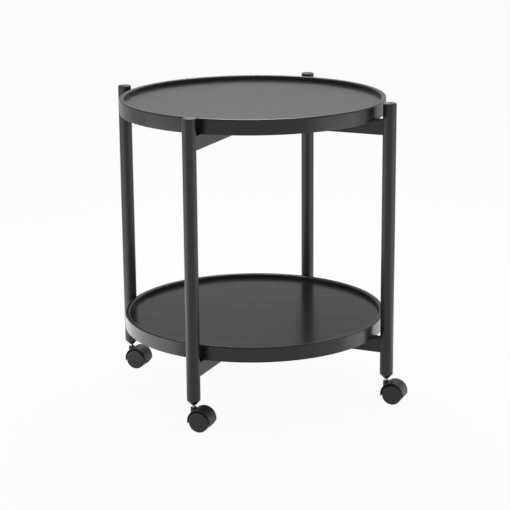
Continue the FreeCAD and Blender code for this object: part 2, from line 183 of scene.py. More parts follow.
def eased_outline(corners, closed=False, hold=HOLD, spread=SPREAD):
    """An outline of (across, up, radius) corners with every corner rounded.

    Each corner gives way to an arc tangent to its two sides: the arc's points are the spherical
    mean of the two tangent points about the arc's centre. A point held a little way along each
    side keeps the flats flat, and long straight runs get a point every spread. Returns the points
    and, for each, how far round a corner it lies: 0 on a flat and 1 in the middle of an arc.
    """
    corners = np.asarray(corners, float)
    places = corners[:, :2]
    inner = slice(None) if closed else slice(1, -1)
    before = unit(np.roll(places, 1, axis=0) - places)[inner]
    after = unit(np.roll(places, -1, axis=0) - places)[inner]
    middle = places[inner]
    radius = corners[inner, 2:3]
    opening = np.arccos(np.clip((before * after).sum(1, keepdims=True), -1, 1))
    reach = radius / np.tan(opening / 2)
    centre = middle + unit(before + after) * radius / np.sin(opening / 2)
    start = middle + before * reach
    end = middle + after * reach
    sweep = np.pi - opening
    share = np.linspace(0, 1, ARC_STEPS + 1)
    first = (np.sin((1 - share) * sweep) / np.sin(sweep))[..., None]
    last = (np.sin(share * sweep) / np.sin(sweep))[..., None]
    arc = centre[:, None] + first * (start - centre)[:, None] + last * (end - centre)[:, None]
    held_before = (start + before * hold)[:, None]
    held_after = (end + after * hold)[:, None]
    runs = np.concatenate([held_before, arc, held_after], axis=1)
    bend = np.concatenate([[0], np.sin(share * np.pi), [0]])
    points = runs.reshape(-1, 2)
    bends = np.tile(bend, len(runs))
    if not closed:
        points = np.concatenate([places[:1], points, places[-1:]])
        bends = np.concatenate([[0], bends, [0]])
    walk = np.concatenate([points, points[:1]]) if closed else points
    walk_bends = np.concatenate([bends, bends[:1]]) if closed else bends
    along = np.concatenate([[0], np.cumsum(np.linalg.norm(np.diff(walk, axis=0), axis=1))])
    stops = np.union1d(along, np.arange(spread, along[-1], spread))
    stops = stops[np.concatenate([[True], np.diff(stops) > SAME_PLACE])]
    finer = np.stack([np.interp(stops, along, walk[:, axis]) for axis in (0, 1)], axis=1)
    finer_bends = np.interp(stops, along, walk_bends)
    if closed:
        return finer[:-1], finer_bends[:-1]
    return finer, finer_bends


def lattice(grid, uv, bends, closed_rows=False, poles=False):
    """Faces over a grid of points whose columns close round on themselves.

    The rows close too where the section is a ring. With poles, the first and the last row are one
    point each, met by triangles. The bends are given by row, by column or as one number. The sign
    of the volume, summed over the faces as a corner times the cross product of the other two, says
    whether the faces point inwards, and then they are turned.
    """
    rows, columns = grid.shape[:2]
    number = np.arange(rows * columns).reshape(rows, columns)
    if poles:
        number[0] = number[0, 0]
        number[-1] = number[-1, 0]
    used, number = np.unique(number, return_inverse=True)
    number = number.reshape(rows, columns)
    points = grid.reshape(-1, 3)[used]
    edge = np.broadcast_to(bends, (rows, columns)).ravel()[used]
    right = np.roll(number, -1, axis=1)
    below = np.roll(number, -1, axis=0)
    below_right = np.roll(right, -1, axis=0)
    stop = None if closed_rows else -1
    quads = np.stack([number, right, below_right, below], axis=-1)[:stop].reshape(-1, 4)
    corner_uv = np.stack([uv[:-1, :-1], uv[:-1, 1:], uv[1:, 1:], uv[1:, :-1]], axis=2)
    corner_uv = corner_uv.reshape(-1, 4, 2)
    top = quads[:, 0] == quads[:, 1]
    bottom = quads[:, 2] == quads[:, 3]
    whole = ~(top | bottom)
    tris = np.concatenate([quads[top][:, [0, 2, 3]], quads[bottom][:, :3]])
    tri_uv = np.concatenate([corner_uv[top][:, [0, 2, 3]], corner_uv[bottom][:, :3]])
    quads = quads[whole]
    quad_uv = corner_uv[whole]
    halves = np.concatenate([quads[:, :3], quads[:, [0, 2, 3]], tris])
    a, b, c = (points[halves[:, index]] for index in range(3))
    if (a * np.cross(b, c)).sum() < 0:
        quads = quads[:, ::-1]
        quad_uv = quad_uv[:, ::-1]
        tris = tris[:, ::-1]
        tri_uv = tri_uv[:, ::-1]
    return points, quads, quad_uv, tris, tri_uv, edge


def turned(corners, origin, axes, segments, closed=False, uv_radius=None, shape=None, **easing):
    """An outline carried all the way round an axis.

    A point at radius r and height h is origin + r (cos t A + sin t B) + h C, for the axis C and
    the two directions A and B across it; shape may then move the points about. UV is in metres:
    round the piece at uv_radius, and along the outline.
    """
    outline, bends = eased_outline(corners, closed, **easing)
    turn = (np.arange(segments) + 0.5) * 2 * np.pi / segments
    a, b, c = (np.asarray(axis, float) for axis in axes)
    round_it = np.cos(turn)[:, None] * a + np.sin(turn)[:, None] * b
    grid = outline[:, 0, None, None] * round_it + outline[:, 1, None, None] * c
    if shape is not None:
        grid = shape(grid)
    grid = grid + np.asarray(origin, float)
    walk = np.concatenate([outline, outline[:1]]) if closed else outline
    along = np.concatenate([[0], np.cumsum(np.linalg.norm(np.diff(walk, axis=0), axis=1))])
    radius = uv_radius if uv_radius else outline[:, 0].max()
    across = np.linspace(0, 2 * np.pi * radius, segments + 1)
    uv = np.stack(np.meshgrid(across, along), axis=-1)
    return lattice(grid, uv, bends[:, None], closed_rows=closed, poles=not closed)


def make_piece(name, surfaces, body, material, node):
    """One object from closed surfaces, riding on a body in place of a node of the frame.

    It gets UV, smooth shading and the edge attribute, which says how far round a corner a point is.
    """
    starts = np.cumsum([0] + [len(surface[0]) for surface in surfaces])
    points = np.concatenate([surface[0] for surface in surfaces])
    quads = np.concatenate([surface[1] + start for surface, start in zip(surfaces, starts)])
    quad_uv = np.concatenate([surface[2] for surface in surfaces])
    tris = np.concatenate([surface[3] + start for surface, start in zip(surfaces, starts)])
    tri_uv = np.concatenate([surface[4] for surface in surfaces])
    edge = np.concatenate([surface[5] for surface in surfaces])
    mesh = bpy.data.meshes.new(name)
    mesh.vertices.add(len(points))
    mesh.vertices.foreach_set("co", points.astype(np.float32).ravel())
    loops = np.concatenate([quads.ravel(), tris.ravel()])
    mesh.loops.add(len(loops))
    mesh.loops.foreach_set("vertex_index", loops.astype(np.int32))
    quad_starts = np.arange(len(quads)) * 4
    tri_starts = quads.size + np.arange(len(tris)) * 3
    loop_starts = np.concatenate([quad_starts, tri_starts])
    mesh.polygons.add(len(loop_starts))
    mesh.polygons.foreach_set("loop_start", loop_starts.astype(np.int32))
    mesh.update(calc_edges=True)
    layer = mesh.uv_layers.new(name="UVMap")
    uv = np.concatenate([quad_uv.reshape(-1, 2), tri_uv.reshape(-1, 2)])
    layer.uv.foreach_set("vector", uv.astype(np.float32).ravel())
    # How far round a corner each point lies; the finishes pale their edges by it, as wear and, on
    # the wood, also as a painted highlight
    corner_share = mesh.attributes.new("edge", "FLOAT", "POINT")
    corner_share.data.foreach_set("value", edge.astype(np.float32))
    mesh.validate()
    mesh.shade_smooth()
    mesh.set_sharp_from_angle(angle=SHARP_ANGLE)
    piece = bpy.data.objects.new(name, mesh)
    bpy.context.scene.collection.objects.link(piece)
    mesh.materials.append(material)
    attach(piece, body)
    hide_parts(node)


# Finishes: the stretch of a noise is in waves per metre
SURFACE_IOR = 1.5
WIDE_RANGE = (0.3, 0.7)
MIDDLE_RANGE = (0.35, 0.65)
UPPER_RANGE = (0.4, 0.7)
SHALLOW = 0.0001

# Stained wood: waves along the fibres and across them
FIGURE_WAVES = (4, 55)
RIPPLE_WAVES = (7, 80)
FIBRE_WAVES = (22, 520)
PORE_WAVES = (70, 1500)
PORE_RANGE = (0.60, 0.72)
FIGURE_SHARE = 0.6
FIBRE_SHARE = 0.4
FIBRE_RELIEF = 0.02
PORE_SHARE = 0.6
PORE_COLOUR = (0.006, 0.006, 0.006)
PORE_ROUGHNESS = 0.05
PORE_RELIEF = 0.03
# Paler colour on the wood's rounded edges: partly rubbed wear, partly a painted highlight
RUBBED_AND_HIGHLIGHT_WOOD = (0.11, 0.107, 0.104)
RUBBED_AND_HIGHLIGHT_WOOD_SHARE = (0.25, 0.65)
STAIN_DARK = (0.008, 0.0078, 0.0076)
STAIN_LIGHT = (0.017, 0.0166, 0.0162)
SATIN = (0.24, 0.32)
FAINT_RIPPLE = 0.00002
FIBRES_X = 0
FIBRES_Z = 2
PANEL_GRAIN = math.radians(-20)
BAR_GRAIN = {"over": math.radians(45), "under": math.radians(135)}

# Moulded plastic
FLOW_WAVES = (120, 120, 60)
SPARK_WAVES = (2600, 2600, 2600)
SPARK_RELIEF = 0.08
RUBBED_PLASTIC = (0.05, 0.05, 0.05)
RUBBED_PLASTIC_SHARE = (0.1, 0.5)

# Zinc-plated steel
RING_WAVES = (30, 30, 4000)
RING_RELIEF = 0.1
MOTTLE_WAVES = (300, 300, 300)
ZINC_DARK = (0.60, 0.60, 0.61)
ZINC_LIGHT = (0.78, 0.78, 0.77)
ZINC_ROUGHNESS = (0.16, 0.34)

# Beech dowel rod
FLECK_WAVES = (900, 900, 900)
FLECK_RELIEF = 0.1
FLECK_DEPTH = 0.0002
BEECH = (0.52, 0.35, 0.20)
BEECH_FLECK = (0.40, 0.24, 0.13)
BEECH_ROUGHNESS = (0.5, 0.7)


class Finish:
    """A node material under its own name, with short calls for the nodes that a finish needs."""

    def __init__(self, name, roughness, metallic=0.0):
        self.material = bpy.data.materials.new(name)
        self.material.use_nodes = True
        self.nodes = self.material.node_tree.nodes
        self.links = self.material.node_tree.links
        self.sockets = self.nodes["Principled BSDF"].inputs
        self.sockets["Roughness"].default_value = roughness
        self.sockets["Metallic"].default_value = metallic
        self.sockets["IOR"].default_value = SURFACE_IOR

    def node(self, kind, **settings):
        """A new node of a kind, with its settings."""
        made = self.nodes.new(kind)
        for key, value in settings.items():
            setattr(made, key, value)
        return made

    def join(self, source, target):
        """A link from one socket to another."""
        self.links.new(source, target)

    def coordinates(self, source, stretch, turn=0.0):
        """Object or UV coordinates, turned about Z and then stretched along each axis."""
        coordinate = self.node("ShaderNodeTexCoord")
        turned_to = self.node("ShaderNodeMapping", vector_type="POINT")
        turned_to.inputs["Rotation"].default_value = (0, 0, -turn)
        stretched = self.node("ShaderNodeMapping", vector_type="POINT")
        stretched.inputs["Scale"].default_value = stretch
        self.join(coordinate.outputs[source], turned_to.inputs["Vector"])
        self.join(turned_to.outputs["Vector"], stretched.inputs["Vector"])
        return stretched.outputs["Vector"]

    def noise(self, vector, detail, roughness=0.5, distortion=0.0):
        """A soft noise at the coordinates' own scale."""
        made = self.node("ShaderNodeTexNoise")
        made.inputs["Scale"].default_value = 1
        made.inputs["Detail"].default_value = detail
        made.inputs["Roughness"].default_value = roughness
        made.inputs["Distortion"].default_value = distortion
        self.join(vector, made.inputs["Vector"])
        return made.outputs["Fac"]

    def spread(self, value, low, high, to_low, to_high):
        """The value's range from low to high, laid over the range from to_low to to_high."""
        made = self.node("ShaderNodeMapRange")
        made.inputs["From Min"].default_value = low
        made.inputs["From Max"].default_value = high
        made.inputs["To Min"].default_value = to_low
        made.inputs["To Max"].default_value = to_high
        self.join(value, made.inputs["Value"])
        return made.outputs["Result"]

    def math(self, operation, first, second):
        """One step of arithmetic on two values, each a number or a socket."""
        made = self.node("ShaderNodeMath", operation=operation)
        for index, value in enumerate((first, second)):
            if isinstance(value, (int, float)):
                made.inputs[index].default_value = value
            else:
                self.join(value, made.inputs[index])
        return made.outputs[0]

    def mix(self, share, first, second):
        """One colour or the other by a share from 0 to 1; a colour is numbers or a socket."""
        made = self.node("ShaderNodeMix", data_type="RGBA")
        self.join(share, made.inputs["Factor"])
        for socket, value in ((made.inputs[6], first), (made.inputs[7], second)):
            if isinstance(value, tuple):
                socket.default_value = (*value, 1)
            else:
                self.join(value, socket)
        return made.outputs[2]

    def bump(self, height, strength, distance, under=None):
        """Relief from a height, over the relief of another bump where one is given."""
        made = self.node("ShaderNodeBump")
        made.inputs["Strength"].default_value = strength
        made.inputs["Distance"].default_value = distance
        self.join(height, made.inputs["Height"])
        if under is not None:
            self.join(under, made.inputs["Normal"])
        return made.outputs["Normal"]

    def edge(self):
        """How far round a rounded corner a point lies, from the piece's own attribute."""
        return self.node("ShaderNodeAttribute", attribute_name="edge").outputs["Fac"]

    def surface(self, colour, roughness, relief):
        """The finished material, its shader fed with colour, roughness and relief."""
        self.join(colour, self.sockets["Base Color"])
        self.join(roughness, self.sockets["Roughness"])
        self.join(relief, self.sockets["Normal"])
        return self.material


def stained_wood(name, source, fibre_axis, turn=0.0, dark=STAIN_DARK, light=STAIN_LIGHT,
                 roughness=SATIN, ripple=FAINT_RIPPLE):
    """Black-stained wood under a satin lacquer, its fibres along one axis of the coordinates.

    The growth rings show faintly through the lacquer as a shallow wavy ripple. Fine fibres and
    pores lie over them, and the rounded edges are paler: partly rubbed wear, partly a painted
    highlight for the light that their rounding catches.
    """
    finish = Finish(name, roughness[0])

    def grain(waves, **settings):
        """A noise with its own waves along the fibres and across them."""
        along, across = waves
        stretch = tuple(along if axis == fibre_axis else across for axis in range(3))
        return finish.noise(finish.coordinates(source, stretch, turn), **settings)

    figure = grain(FIGURE_WAVES, detail=4, distortion=0.4)
    wave = grain(RIPPLE_WAVES, detail=3, distortion=0.5)
    fibre = grain(FIBRE_WAVES, detail=3, roughness=0.6)
    pores = finish.spread(grain(PORE_WAVES, detail=1), *PORE_RANGE, 0, 1)
    figure_part = finish.math("MULTIPLY", figure, FIGURE_SHARE)
    fibre_part = finish.math("MULTIPLY", fibre, FIBRE_SHARE)
    tone = finish.math("ADD", figure_part, fibre_part)
    colour = finish.mix(finish.spread(tone, *MIDDLE_RANGE, 0, 1), dark, light)
    colour = finish.mix(finish.math("MULTIPLY", pores, PORE_SHARE), colour, PORE_COLOUR)
    # Rounded edges go paler: partly rubbed wear, partly a painted highlight for the light their
    # rounding catches
    patchy = finish.spread(figure, *UPPER_RANGE, *RUBBED_AND_HIGHLIGHT_WOOD_SHARE)
    rubbed = finish.math("MULTIPLY", finish.edge(), patchy)
    colour = finish.mix(rubbed, colour, RUBBED_AND_HIGHLIGHT_WOOD)
    satin = finish.spread(tone, *WIDE_RANGE, *roughness)
    satin = finish.math("ADD", satin, finish.math("MULTIPLY", pores, PORE_ROUGHNESS))
    relief = finish.bump(wave, 1, ripple)
    relief = finish.bump(fibre, FIBRE_RELIEF, SHALLOW, relief)
    relief = finish.bump(finish.math("SUBTRACT", 1, pores), PORE_RELIEF, SHALLOW, relief)
    return finish.surface(colour, satin, relief)


def moulded_plastic(name, dark, light, roughness):
    """Black moulded plastic: fine spark-eroded grain, faint flow marks and paler rubbed edges."""
    finish = Finish(name, roughness[0])
    flow = finish.noise(finish.coordinates("Object", FLOW_WAVES), detail=4, distortion=0.6)
    grain = finish.noise(finish.coordinates("Object", SPARK_WAVES), detail=2)
    colour = finish.mix(finish.spread(flow, *MIDDLE_RANGE, 0, 1), dark, light)
    patchy = finish.spread(flow, *UPPER_RANGE, *RUBBED_PLASTIC_SHARE)
    rubbed = finish.math("MULTIPLY", finish.edge(), patchy)
    colour = finish.mix(rubbed, colour, RUBBED_PLASTIC)
    matt = finish.spread(grain, *WIDE_RANGE, *roughness)
    return finish.surface(colour, matt, finish.bump(grain, SPARK_RELIEF, SHALLOW))


def bright_steel(name):
    """Zinc-plated turned steel, with fine rings round the stem and a mottled sheen."""
    finish = Finish(name, roughness=0.2, metallic=1.0)
    rings = finish.noise(finish.coordinates("Object", RING_WAVES), detail=2)
    mottle = finish.noise(finish.coordinates("Object", MOTTLE_WAVES), detail=3)
    colour = finish.mix(finish.spread(mottle, *WIDE_RANGE, 0, 1), ZINC_DARK, ZINC_LIGHT)
    sheen = finish.spread(rings, *WIDE_RANGE, *ZINC_ROUGHNESS)
    return finish.surface(colour, sheen, finish.bump(rings, RING_RELIEF, SHALLOW))


def bare_beech(name):
    """Plain beech dowel rod, with short darker flecks."""
    finish = Finish(name, roughness=0.6)
    fleck = finish.noise(finish.coordinates("Object", FLECK_WAVES), detail=2)
    colour = finish.mix(finish.spread(fleck, *UPPER_RANGE, 0, 1), BEECH, BEECH_FLECK)
    matt = finish.spread(fleck, *WIDE_RANGE, *BEECH_ROUGHNESS)
    return finish.surface(colour, matt, finish.bump(fleck, FLECK_RELIEF, FLECK_DEPTH))


leg_wood = stained_wood(
    "leg_stain", "Object", FIBRES_Z,
    dark=(0.014, 0.0137, 0.0134), light=(0.026, 0.0255, 0.0249), roughness=(0.34, 0.44),
)
rim_wood = stained_wood("rim_stain", "UV", FIBRES_X)
panel_wood = stained_wood(
    "panel_stain", "Object", FIBRES_X, PANEL_GRAIN,
    dark=(0.004, 0.0039, 0.0038), light=(0.024, 0.0235, 0.0229), roughness=(0.17, 0.22),
    ripple=0.0002,
)
bar_wood = {
    lap: stained_wood(f"bar_stain_{lap}", "Object", FIBRES_X, grain)
    for lap, grain in BAR_GRAIN.items()
}
hood_plastic = moulded_plastic(
    "hood_plastic",
    dark=(0.030, 0.030, 0.030), light=(0.042, 0.042, 0.041), roughness=(0.42, 0.54),
)
wheel_plastic = moulded_plastic(
    "wheel_plastic",
    dark=(0.016, 0.016, 0.016), light=(0.024, 0.024, 0.023), roughness=(0.38, 0.52),
)
steel = bright_steel("bright_zinc")
beech = bare_beech("bare_beech")


def tray(level):
    """A rim turned from its section, and a panel with its tongue under the rim's lip."""
    origin = (0, 0, TRAY_BASE[level])
    rim = turned([
        (TRAY_RADIUS, 0, RIM_BASE_EDGE),
        (TRAY_RADIUS, RIM_HEIGHT, RIM_EDGE),
        (RIM_INNER, RIM_HEIGHT, RIM_EDGE),
        (RIM_INNER, TONGUE, EASE),
        (REBATE_RADIUS, TONGUE, EASE),
        (REBATE_RADIUS, 0, EASE),
    ], origin, UPRIGHT, RIM_SEGMENTS, closed=True, uv_radius=TRAY_RADIUS)
    make_piece(f"{level}_rim", [rim], "frame", rim_wood, f"{level}_tray_rim")
    panel = turned([
        (0, 0, 0),
        (PANEL_EDGE, 0, EASE),
        (PANEL_EDGE, TONGUE, EASE),
        (PANEL_FIELD, TONGUE, EASE),
        (PANEL_FIELD, PANEL_TOP, EASE),
        (0, PANEL_TOP, 0),
    ], origin, UPRIGHT, PANEL_SEGMENTS)
    make_piece(f"{level}_panel", [panel], "frame", panel_wood,
               f"{level}_tray_panel")


def screw_head(place):
    """A round head with a cross for the driver.

    A point under the head rises by the cross's depth, less towards the arms' ends, times the
    larger of the two arms' shares: each is a clipped ramp across the arm's width times one along
    its length.
    """
    def driver_cross(grid):
        """The head's points with those inside the cross raised."""
        off_axis = np.abs(grid[..., :2])
        across = np.clip((CROSS_HALF - off_axis) / CROSS_SLOPE, 0, 1)
        along = np.clip((CROSS_ARM - off_axis) / CROSS_SLOPE, 0, 1)
        share = (across * along[..., ::-1]).max(-1)
        taper = 1 - np.clip(off_axis.max(-1) / CROSS_ARM, 0, 1) / 2
        under = grid[..., 2] < (SCREW_HEAD_BASE + SCREW_SEAT) / 2
        grid[..., 2] += np.where(under, CROSS_DEPTH * share * taper, 0)
        return grid

    return turned([
        (0, SCREW_HEAD_BASE, 0),
        (SCREW_HEAD, SCREW_HEAD_BASE, SCREW_HEAD_EDGE),
        (SCREW_HEAD, SCREW_SEAT, FINE_EASE),
        (0, SCREW_SEAT, 0),
    ], place, UPRIGHT, HEAD_SEGMENTS, shape=driver_cross, hold=FINE_HOLD, spread=HEAD_SPREAD)


def screw_shank(place):
    """A pointed shank with a thread cut into it.

    The radius loses the thread's depth times a clipped triangle wave of the height over the pitch
    less the share of a turn, so that the groove climbs one pitch each time round.
    """
    def thread(grid):
        """The shank's points drawn in towards the axis where the groove is."""
        turn = np.arctan2(grid[..., 1], grid[..., 0]) / (2 * np.pi)
        wave = np.abs(2 * np.mod(grid[..., 2] / THREAD_PITCH - turn, 1) - 1)
        groove = np.minimum(1, THREAD_STEEPNESS * wave)
        grid[..., :2] *= 1 - THREAD_DEPTH / SCREW_SHANK * groove[..., None]
        return grid

    return turned([
        (0, SCREW_SEAT - EASE, 0),
        (SCREW_SHANK, SCREW_SEAT - EASE, FINE_EASE),
        (SCREW_SHANK, SCREW_POINT_BASE, EASE),
        (0, SCREW_TIP, 0),
    ], place, UPRIGHT, SHANK_SEGMENTS, shape=thread, hold=FINE_HOLD, spread=SHANK_SPREAD)


def tray_screws(level):
    """Four screws, sunk in the bars from below and driven into the panel."""
    surfaces = []
    for angle in CORNERS.values():
        turn = math.radians(angle)
        place = (
            SCREW_CIRCLE * math.cos(turn),
            SCREW_CIRCLE * math.sin(turn),
            TRAY_BASE[level] - BAR_HEIGHT,
        )
        surfaces += [screw_head(place), screw_shank(place)]
    make_piece(f"{level}_screws", surfaces, "frame", steel, f"{level}_tray_screws")


def leg(corner, foot):
    """A round leg with a softened top, a tapered foot and the socket's bore."""
    solid = turned([
        (0, LEG_BORE_TOP, 0),
        (LEG_BORE, LEG_BORE_TOP, EASE),
        (LEG_BORE, FOOT_BASE, EASE),
        (FOOT_TIP, FOOT_BASE, EASE),
        (LEG_RADIUS, TAPER_TOP, FOOT_EDGE),
        (LEG_RADIUS, LEG_TOP, LEG_TOP_EDGE),
        (0, LEG_TOP, 0),
    ], foot, UPRIGHT, LEG_SEGMENTS)
    make_piece(f"{corner}_leg_turned", [solid], "frame", leg_wood,
               f"{corner}_leg")


def castor_socket(corner, foot):
    """A sleeve in the leg's foot, with a domed collar below and a groove for the grip ring."""
    solid = turned([
        (0, SOCKET_BORE_TOP, 0),
        (SOCKET_BORE, SOCKET_BORE_TOP, FINE_EASE),
        (SOCKET_BORE, SOCKET_GROOVE_TOP, FINE_EASE),
        (SOCKET_GROOVE, SOCKET_GROOVE_TOP, FINE_EASE),
        (SOCKET_GROOVE, SOCKET_GROOVE_BASE, FINE_EASE),
        (SOCKET_BORE, SOCKET_GROOVE_BASE, FINE_EASE),
        (SOCKET_BORE, COLLAR_BASE, FINE_EASE),
        (COLLAR_LIP, COLLAR_BASE, COLLAR_LIP_EDGE),
        (FOOT_TIP, COLLAR_SHOULDER, COLLAR_SHOULDER_EDGE),
        (FOOT_TIP, FOOT_BASE, FINE_EASE),
        (SOCKET_RADIUS, FOOT_BASE, FINE_EASE),
        (SOCKET_RADIUS, SOCKET_TOP, EASE),
        (0, SOCKET_TOP, 0),
    ], foot, UPRIGHT, SOCKET_SEGMENTS, hold=FINEST_HOLD)
    make_piece(f"{corner}_socket", [solid], "frame", hood_plastic,
               f"{corner}_castor_socket")


def castor_stem(corner, foot):
    """A steel stem with the grip ring's groove near its top."""
    solid = turned([
        (0, STEM_BASE, 0),
        (STEM_RADIUS, STEM_BASE, EASE),
        (STEM_RADIUS, RING_BASE, FINE_EASE),
        (STEM_GROOVE, RING_BASE, FINE_EASE),
        (STEM_GROOVE, RING_TOP, FINE_EASE),
        (STEM_RADIUS, RING_TOP, FINE_EASE),
        (STEM_RADIUS, STEM_TOP, EASE),
        (0, STEM_TOP, 0),
    ], foot, UPRIGHT, STEM_SEGMENTS, hold=FINEST_HOLD)
    make_piece(f"{corner}_stem", [solid], f"{corner}_castor", steel,
               f"{corner}_castor_stem")


def hood_shell(foot, ahead, axle):
    """The hood's barrel wall: a flat ring section carried round the axle from skirt to skirt.

    A section point at radius r runs from the angle whose sine is -skirt / r to its mirror image,
    so that both ends lie in one level plane. Each end is closed onto the section's middle.
    """
    section, bends = eased_outline([
        (-HOOD_HALF, HOOD_RADIUS, HOOD_EDGE),
        (HOOD_HALF, HOOD_RADIUS, HOOD_EDGE),
        (HOOD_HALF, WELL_RADIUS, WELL_EASE),
        (-HOOD_HALF, WELL_RADIUS, WELL_EASE),
    ], closed=True, hold=FINE_HOLD, spread=HOOD_SPREAD)
    section = np.roll(section, 1, axis=0)
    bends = np.roll(bends, 1)
    reach = np.pi / 2 + np.arcsin(HOOD_SKIRT / section[:, 1])
    share = np.concatenate([
        [-1, -SKIRT_NEARER],
        np.linspace(-SKIRT_NEAR, SKIRT_NEAR, HOOD_RINGS),
        [SKIRT_NEARER, 1],
    ])
    angle = np.pi / 2 - share[:, None] * reach
    rings = (
        (section[:, 1] * np.cos(angle))[..., None] * ahead
        + (section[:, 0] + 0 * angle)[..., None] * axle
        + (section[:, 1] * np.sin(angle))[..., None] * UP
    )
    first, last = (np.repeat(rings[end].mean(0)[None], len(section), axis=0) for end in (0, -1))
    grid = np.concatenate([first[None], rings, last[None]])
    grid = grid + foot + HOOD_CENTRE * ahead + WHEEL_RADIUS * UP
    along = np.linspace(0, HOOD_RADIUS * WALL_UV, len(grid))
    across = np.linspace(0, HOOD_HALF * WALL_UV, len(section) + 1)
    uv = np.stack(np.meshgrid(across, along), axis=-1)
    return lattice(grid, uv, bends, poles=True)


def hood_web(foot, ahead, axle):
    """The plate between the wheels: a round outline cut level at the skirt, made thick.

    A point is the hood's centre plus a share of the outline's offset: from face to face the share
    grows from 0 to 1 over one face, stays 1 across the edge and falls to 0 over the other face.
    """
    radius = (HOOD_RADIUS + WELL_RADIUS) / 2
    low = np.arcsin(HOOD_SKIRT / radius)
    arc = np.linspace(-low, np.pi + low, WEB_ARC_POINTS)
    chord = np.linspace(-np.cos(low), np.cos(low), WEB_CHORD_POINTS)[1:-1] * radius
    outline = np.concatenate([
        np.stack([radius * np.cos(arc), radius * np.sin(arc)], axis=1),
        np.stack([chord, np.full_like(chord, -HOOD_SKIRT)], axis=1),
    ])
    grid = (
        (WEB_SHARE[:, None] * outline[:, 0])[..., None] * ahead
        + (WEB_DEPTH[:, None] + 0 * outline[:, 0])[..., None] * axle
        + (WEB_SHARE[:, None] * outline[:, 1])[..., None] * UP
    )
    grid = grid + foot + HOOD_CENTRE * ahead + WHEEL_RADIUS * UP
    across = np.linspace(0, WEB_UV * radius, len(outline) + 1)
    along = np.linspace(0, radius, len(WEB_SHARE))
    uv = np.stack(np.meshgrid(across, along), axis=-1)
    return lattice(grid, uv, 0, poles=True)


def hood_neck(foot, ahead, axle):
    """The stem's neck, cut flush with the web wherever it would stand in a wheel's well."""
    def flush(grid):
        """The neck's points, those in a well moved along the axle to the web's face."""
        across = grid @ axle
        offsets = [grid @ ahead - HOOD_CENTRE, grid[..., 2] - WHEEL_RADIUS]
        in_well = np.linalg.norm(np.stack(offsets, axis=-1), axis=-1) < WELL_RADIUS
        spare = np.where(in_well, np.clip(across, -WEB_HALF, WEB_HALF) - across, 0)
        return grid + spare[..., None] * axle

    return turned([
        (0, STEM_BASE, 0),
        (STEM_HOLE, STEM_BASE, FINE_EASE),
        (STEM_HOLE, NECK_TOP, EASE),
        (NECK_RADIUS, NECK_TOP, NECK_EDGE),
        (NECK_RADIUS, NECK_BASE, EASE),
        (0, NECK_BASE, 0),
    ], foot, (ahead, axle, UP), NECK_SEGMENTS, shape=flush, hold=FINE_HOLD, spread=NECK_SPREAD)


def castor_hood(corner, foot, ahead, axle):
    """The hood as one moulding: barrel wall, web, axle boss and neck."""
    boss = turned([
        (AXLE_HOLE, -WEB_HALF, FINE_EASE),
        (BOSS_RADIUS, -WEB_HALF, EASE),
        (BOSS_RADIUS, WEB_HALF, EASE),
        (AXLE_HOLE, WEB_HALF, FINE_EASE),
    ], foot + TRAIL * ahead + WHEEL_RADIUS * UP, (ahead, UP, axle), BOSS_SEGMENTS,
        closed=True, hold=FINE_HOLD)
    surfaces = [
        hood_shell(foot, ahead, axle),
        hood_web(foot, ahead, axle),
        boss,
        hood_neck(foot, ahead, axle),
    ]
    make_piece(f"{corner}_hood", surfaces, f"{corner}_castor", hood_plastic,
               f"{corner}_castor_hood")


def castor_wheel(corner, side, outward, foot, ahead):
    """A cupped wheel turned about the axle, with a closed face and a rounded tread edge."""
    solid = turned([
        (0, WHEEL_FLOOR, 0),
        (HUB_BORE, WHEEL_FLOOR, FINE_EASE),
        (HUB_BORE, WHEEL_INSIDE, FINE_EASE),
        (HUB_RADIUS, WHEEL_INSIDE, EASE),
        (HUB_RADIUS, WHEEL_FLOOR, EASE),
        (WHEEL_CUP, WHEEL_FLOOR, EASE),
        (WHEEL_CUP, WHEEL_INSIDE, EASE),
        (WHEEL_RADIUS, WHEEL_INSIDE, EASE),
        (WHEEL_RADIUS, WHEEL_OUTSIDE, WHEEL_EDGE),
        (0, WHEEL_OUTSIDE, 0),
    ], foot + TRAIL * ahead + WHEEL_RADIUS * UP, (ahead, UP, outward), WHEEL_SEGMENTS,
        hold=FINE_HOLD, spread=WHEEL_SPREAD)
    make_piece(f"{corner}_wheel_{side}_turned", [solid], f"{corner}_wheel_{side}",
               wheel_plastic, f"{corner}_castor_wheel_{side}")


def castor(corner, foot):
    """One castor under its leg, heading as in the photograph."""
    ahead = np.array([math.cos(CASTOR_HEADING), math.sin(CASTOR_HEADING), 0])
    axle = np.array([-math.sin(CASTOR_HEADING), math.cos(CASTOR_HEADING), 0])
    castor_socket(corner, foot)
    castor_stem(corner, foot)
    castor_hood(corner, foot, ahead, axle)
    castor_wheel(corner, "near", -axle, foot, ahead)
    castor_wheel(corner, "far", axle, foot, ahead)


def finish_node(node, material):
    """Give a kept node of the frame its finish."""
    for material_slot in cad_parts[node].material_slots:
        material_slot.material = material


for level in LEVELS:
    tray(level)
    for lap, wood in bar_wood.items():
        finish_node(f"{level}_cross_bar_{lap}", wood)
    tray_screws(level)
    for metal in ("bar_studs", "barrel_nuts"):
        finish_node(f"{level}_{metal}", steel)
    finish_node(f"{level}_bar_dowels", beech)
for corner, angle in CORNERS.items():
    turn = math.radians(angle)
    foot = LEG_CIRCLE * np.array([math.cos(turn), math.sin(turn), 0])
    leg(corner, foot)
    castor(corner, foot)
    finish_node(f"{corner}_castor_axle", steel)
    finish_node(f"{corner}_castor_grip_ring", steel)

